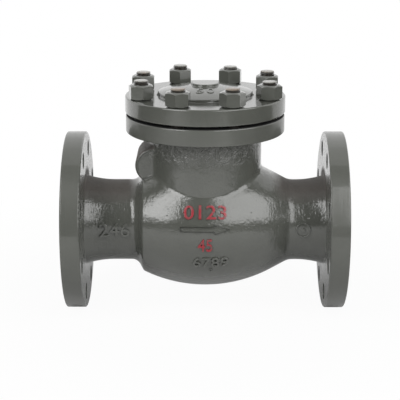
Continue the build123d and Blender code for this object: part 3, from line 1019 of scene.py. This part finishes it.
    def lay_ring(self, skin: Skin, coat: bpy.types.Material) -> None:
        """Lays a raised ring with a plain dot on the outlet waist.

        Args:
            skin: The body's skin.
            coat: The body's material.
        """
        place, turn = 260.8 * MM, math.radians(1.0)
        for name, radius, line in (("waist_ring", 8.3 * MM, 1.5 * MM), ("waist_ring_dot", 2.4 * MM, 0.0)):
            mark = CastMark(name, 2 * radius, 2 * radius, 1.5 * MM)
            mesh = bmesh.new()
            bmesh.ops.create_circle(mesh, cap_ends=True, segments=48, radius=radius)
            if line:
                mark.outline(mesh, line)
            else:
                mark.thicken(mesh, mesh.faces[:])
            mark.divide(mesh)
            skin.lay_on_side(mesh, place, turn)
            mark.finish(mesh, "body_paint", coat)


@dataclass
class Cover:
    """The cover with its finish and two digits on its dome."""

    paint: Enamel
    digit_width: float = 8.0 * MM
    digit_height: float = 14.0 * MM
    digit_proud: float = 0.8 * MM
    digit_weight: float = -0.01
    digit_offset: float = 5.6 * MM
    digit_y: float = -27.0 * MM

    def build(self) -> None:
        """Dresses the cover and lays the digits on its dome."""
        coat = self.paint.make()
        dress("cover", coat)
        log.info("cover dressed")
        skin = Skin("cover")
        for name, text, side in (("cover_digit_left", "5", -1), ("cover_digit_right", "0", 1)):
            mark = CastMark(name, self.digit_width, self.digit_height, self.digit_proud)
            mesh = mark.digits(text, self.digit_weight)
            mark.divide(mesh)
            skin.lay_on_top(mesh, MIDDLE_X + side * self.digit_offset, self.digit_y)
            mark.finish(mesh, "cover_paint", coat)


@dataclass
class CoverBolting:
    """The eight studs and nuts that hold the cover down."""

    paint: Enamel
    pitch: float = 2.0 * MM
    thread_depth: float = 0.7 * MM
    thread_root: float = 0.2 * MM
    thread_foot: float = 1.0 * MM
    thread_end: float = 2.2 * MM
    steps: int = 32
    ends: tuple[StudEnd, ...] = (
        StudEnd.WEATHERED, StudEnd.PAINTED, StudEnd.PAINTED, StudEnd.WEATHERED,
        StudEnd.BRIGHT, StudEnd.WORN, StudEnd.WORN, StudEnd.BRIGHT,
    )

    def build(self) -> None:
        """Dresses each nut and puts a threaded stud in place of each plain one."""
        coat = self.paint.make()
        for number, end in enumerate(self.ends, start=1):
            bareness, dome = end.value
            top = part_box(f"cover_stud_{number}")[1].z
            dress(f"cover_nut_{number}", coat)
            finish = StudCoatWithPaintedLight(f"stud_{number}_coat", bareness, top - dome - 0.5 * MM)
            self.add_stud(number, dome, finish.make())
        log.info("%d nuts and studs", len(self.ends))

    def add_stud(self, number: int, dome: float, material: bpy.types.Material) -> None:
        """Builds one threaded stud with a domed upper end.

        Args:
            number: The stud's number.
            dome: How far its end is domed.
            material: Its material.
        """
        node = f"cover_stud_{number}"
        low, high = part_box(node)
        axis = Vector(((low.x + high.x) / 2, (low.y + high.y) / 2, 0.0))
        core = STUD_RADIUS - self.thread_depth
        mesh = bmesh.new()
        self.add_core(mesh, core, low.z, high.z, dome)
        # The thread is one ridge, spun round the axis while it climbs.
        turns = int((high.z - low.z - self.thread_end) / self.pitch)
        foot = low.z + self.thread_foot
        root = core - self.thread_root
        ridge = ((root, 0.0), (STUD_RADIUS, 0.36), (STUD_RADIUS, 0.52), (root, 0.88))
        corners = [mesh.verts.new((r, 0.0, foot + self.pitch * share)) for r, share in ridge]
        section = mesh.faces.new(corners)
        bmesh.ops.spin(
            mesh, geom=[section, *section.edges, *section.verts], cent=(0.0, 0.0, 0.0), axis=(0.0, 0.0, 1.0),
            dvec=(0.0, 0.0, self.pitch / self.steps), angle=2 * math.pi * turns, steps=self.steps * turns,
            use_merge=False,
        )
        bmesh.ops.recalc_face_normals(mesh, faces=mesh.faces)
        bmesh.ops.translate(mesh, verts=mesh.verts, vec=axis)
        name = f"threaded_stud_{number}"
        piece = add_piece(name, mesh_data(name, mesh), "valve", material)
        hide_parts(node)

    def add_core(
        self, mesh: bmesh.types.BMesh, radius: float, bottom: float, top: float, dome: float,
    ) -> None:
        """Adds the stud's core, with its upper end domed.

        Args:
            mesh: The mesh that it is added to.
            radius: The core's radius.
            bottom: Its lower end.
            top: Its upper end.
            dome: How far that end is domed.
        """
        profile = [(0.0, bottom), (radius, bottom), (radius, top - dome)]
        for step in range(1, 6):
            angle = math.radians(18 * step)
            profile.append((radius * math.cos(angle), top - dome * (1 - math.sin(angle))))
        verts = [mesh.verts.new((r, 0.0, h)) for r, h in profile]
        edges = [mesh.edges.new(pair) for pair in zip(verts, verts[1:])]
        bmesh.ops.spin(
            mesh, geom=verts + edges, cent=(0.0, 0.0, 0.0), axis=(0.0, 0.0, 1.0), dvec=(0.0, 0.0, 0.0),
            angle=2 * math.pi, steps=self.steps, use_merge=True,
        )
        bmesh.ops.remove_doubles(mesh, verts=mesh.verts, dist=1e-6)


@dataclass
class Works:
    """What the valve holds inside: seat, pin, arm, disc and their fasteners."""

    plug_paint: Enamel

    def build(self) -> None:
        """Dresses each inner piece."""
        pin_centre = (HINGE_X, 0.0, HINGE_Z)
        finishes = {
            "seat_ring": Steel("seat_steel", (0.60, 0.59, 0.57), 0.22),
            "hinge_pin": Steel("pin_steel", (0.56, 0.55, 0.53), 0.25, centre=pin_centre, about_flow=False),
            "hinge_arm": Steel("arm_steel", (0.16, 0.15, 0.14), 0.5, 0.7, depth=0.0, cast=0.35 * MM),
            "disc": Steel("disc_steel", (0.48, 0.47, 0.45), 0.28),
            "disc_washer": Steel("disc_washer_steel", (0.54, 0.53, 0.51), 0.3),
            "disc_nut": Steel("disc_nut_steel", (0.50, 0.49, 0.47), 0.32),
            "disc_split_pin": Steel("split_pin_steel", (0.58, 0.57, 0.56), 0.3, depth=0.0),
        }
        for node, finish in finishes.items():
            dress(node, finish.make())
            log.info("%s dressed", node)
        for node in ("cover_gasket", "pin_plug_gasket"):
            dress(node, Graphite(f"{node}_sheet").make())
        dress("pin_plug", self.plug_paint.make())
        log.info("gaskets and plug dressed")


@dataclass(frozen=True)
class Softbox:
    """A rectangular studio light that faces the valve."""

    name: str
    azimuth: float
    elevation: float
    distance: float
    width: float
    height: float
    radiance: float
    upright: bool = True
    mirrored: bool = True

    def build(self, target: Vector) -> None:
        """Adds the light.

        Args:
            target: The point that it faces.
        """
        data = bpy.data.lights.new(self.name, "AREA")
        data.shape = "RECTANGLE"
        data.size = self.width
        data.size_y = self.height
        data.energy = self.radiance * math.pi * self.width * self.height
        lamp = bpy.data.objects.new(self.name, data)
        bpy.context.scene.collection.objects.link(lamp)
        turn, rise = math.radians(self.azimuth), math.radians(self.elevation)
        out = Vector((math.sin(turn) * math.cos(rise), -math.cos(turn) * math.cos(rise), math.sin(rise)))
        lamp.location = target + out * self.distance
        facing = Vector((out.x, out.y, 0.0)) if self.upright else out
        lamp.rotation_euler = facing.to_track_quat("Z", "Y").to_euler()
        lamp.visible_camera = False
        lamp.visible_glossy = self.mirrored
        log.info("%s placed", self.name)


@dataclass
class Studio:
    """The floor, the light round the valve and the camera."""

    target: Vector
    ambient: float = 0.17
    sheet_edge: float = 0.72
    sheet_front: float = -1.05
    sheet_back: float = 0.35
    floor_size: float = 12.0
    cloth_radius: float = 4.0
    cloth_height: float = 6.0
    cloth_opening: float = 0.6
    cloth_reach: float = 1.5
    camera_place: Vector = Vector((0.155, -1.4101, 0.4145))
    camera_aim: Vector = Vector((0.14934, 0.00597, 0.0203))
    lens: float = 118.9

    def build(self) -> None:
        """Builds the studio."""
        self.add_world()
        self.add_floor()
        self.add_flags()
        boxes = (
            Softbox("softbox_left", -45.0, 43.0, 1.75, 0.80, 1.90, 5.0),
            Softbox("softbox_right", 44.5, 42.0, 1.75, 1.60, 2.00, 3.3),
            Softbox("softbox_top", 180.0, 75.0, 1.6, 1.6, 1.0, 0.8, upright=False),
            Softbox("fill_behind", 180.0, 18.0, 1.85, 2.4, 1.0, 3.0, mirrored=False),
        )
        for box in boxes:
            box.build(self.target)
        self.add_camera()

    def add_world(self) -> None:
        """Makes a world that shows white and lights the valve softly."""
        world = bpy.data.worlds.new("studio")
        bpy.context.scene.world = world
        world.use_nodes = True
        tree = world.node_tree
        seen = self.seen_ray(tree)
        mix = tree.nodes.new("ShaderNodeMix")
        mix.data_type = "RGBA"
        mix.inputs[6].default_value = (self.ambient, self.ambient, self.ambient, 1.0)
        mix.inputs[7].default_value = (1.0, 1.0, 1.0, 1.0)
        tree.links.new(seen, mix.inputs["Factor"])
        tree.links.new(mix.outputs[2], tree.nodes["Background"].inputs["Color"])

    @staticmethod
    def seen_ray(tree: bpy.types.NodeTree) -> bpy.types.NodeSocket:
        """A mask that is 1 for what the camera sees, by itself or in a reflection or through glass.

        Args:
            tree: The node tree that it is added to.

        Returns:
            The mask.
        """
        path = tree.nodes.new("ShaderNodeLightPath")
        total = path.outputs["Is Camera Ray"]
        for name in ("Is Glossy Ray", "Is Transmission Ray"):
            node = tree.nodes.new("ShaderNodeMath")
            node.operation = "ADD"
            node.use_clamp = True
            tree.links.new(total, node.inputs[0])
            tree.links.new(path.outputs[name], node.inputs[1])
            total = node.outputs[0]
        return total

    def add_floor(self) -> None:
        """Adds the pale floor that the flanges stand on."""
        mesh = bmesh.new()
        bmesh.ops.create_grid(mesh, x_segments=24, y_segments=24, size=self.floor_size / 2)
        bmesh.ops.translate(mesh, verts=mesh.verts, vec=(MIDDLE_X, 0.0, BODY_LOW.z))
        data = mesh_data("floor", mesh)
        floor = bpy.data.objects.new("floor", data)
        bpy.context.scene.collection.objects.link(floor)
        shader = Shader("floor_paper")
        mottle = shader.noise(0.4, 2.0)
        shader.set("Base Color", shader.blend(mottle.rises(0.0, 0.6), (0.64, 0.64, 0.64), (0.62, 0.62, 0.62)))
        shader.set("Roughness", 0.9)
        shader.set("Specular IOR Level", 0.1)
        tree = shader.tree
        white = tree.nodes.new("ShaderNodeEmission")
        mix = tree.nodes.new("ShaderNodeMixShader")
        x, y, _ = shader.axes()
        away = distance(x - MIDDLE_X, y).rises(0.35, 0.3)
        path = tree.nodes.new("ShaderNodeLightPath")
        lift = Field(shader, path.outputs["Is Camera Ray"]) * (away * 0.05 + 0.95)
        lift = lift + Field(shader, path.outputs["Is Glossy Ray"]) * away * (x.falls(-0.2, 0.3) * 0.5 + 0.5)
        tree.links.new(lift.socket, mix.inputs[0])
        tree.links.new(shader.principled.outputs[0], mix.inputs[1])
        tree.links.new(white.outputs[0], mix.inputs[2])
        tree.links.new(mix.outputs[0], tree.nodes["Material Output"].inputs["Surface"])
        data.materials.append(shader.material)

    def add_flags(self) -> None:
        """Adds the dark cloth on the camera's side of the studio, which only reflections see."""
        shader = Shader("flag_cloth")
        weave = shader.noise(0.01, 2.0).rises(0.0, 0.5)
        shader.set("Base Color", shader.blend(weave, (0.02, 0.02, 0.02), (0.03, 0.03, 0.03)))
        shader.set("Roughness", 1.0)
        shader.set("Specular IOR Level", 0.0)
        mesh = bmesh.new()
        radius, height = self.cloth_radius, self.cloth_height
        bmesh.ops.create_cone(
            mesh, cap_ends=False, segments=48, radius1=radius, radius2=radius, depth=height,
        )
        bmesh.ops.translate(mesh, verts=mesh.verts, vec=(MIDDLE_X, 0.0, height / 2 + BODY_LOW.z))
        behind = [v for v in mesh.verts if v.co.y > self.cloth_opening]
        bmesh.ops.delete(mesh, geom=behind, context="VERTS")
        ceiling = bmesh.ops.create_circle(mesh, cap_ends=True, segments=48, radius=radius)["verts"]
        bmesh.ops.translate(mesh, verts=ceiling, vec=(MIDDLE_X, 0.0, height + BODY_LOW.z))
        # Beside and before the white sheet that the valve stands on, the studio's floor is dark too.
        reach = self.cloth_reach
        back = self.sheet_back - reach
        places = (
            (-self.sheet_edge - reach, back),
            (self.sheet_edge + reach, back),
            (0.0, self.sheet_front - reach),
        )
        for x, y in places:
            cloth = bmesh.ops.create_grid(mesh, x_segments=1, y_segments=1, size=reach)["verts"]
            bmesh.ops.translate(mesh, verts=cloth, vec=(x, y, BODY_LOW.z + 2 * MM))
        data = mesh_data("flags", mesh)
        flags = bpy.data.objects.new("flags", data)
        bpy.context.scene.collection.objects.link(flags)
        data.materials.append(shader.material)
        flags.visible_camera = False
        flags.visible_diffuse = False
        flags.visible_transmission = False
        flags.visible_shadow = False

    def add_camera(self) -> None:
        """Adds the camera in front of the valve and a little above it."""
        data = bpy.data.cameras.new("camera")
        data.lens = self.lens
        data.sensor_width = 36.0
        data.clip_end = 50.0
        camera = bpy.data.objects.new("camera", data)
        bpy.context.scene.collection.objects.link(camera)
        camera.location = self.camera_place
        back = self.camera_place - self.camera_aim
        camera.rotation_euler = back.to_track_quat("Z", "Y").to_euler()
        bpy.context.scene.camera = camera


def main() -> None:
    """Builds the valve's looks and the studio round it."""
    logging.basicConfig(level=logging.INFO, format="%(name)s: %(message)s")
    bpy.context.scene.view_settings.view_transform = "Standard"
    Casting(CastingEnamel("body_paint"), BrushedRed("mark_red")).build()
    # The cover's lowest 0.3 mm is painted near-black, as painted shade in the gap over the gasket.
    Cover(Enamel("cover_paint", coat=0.7, dark_below=COVER_LOW.z + 0.3 * MM)).build()
    CoverBolting(Enamel("nut_paint")).build()
    Works(Enamel("plug_paint")).build()
    Studio(Vector((MIDDLE_X, 0.0, 20 * MM))).build()


if __name__ == "__main__":
    main()
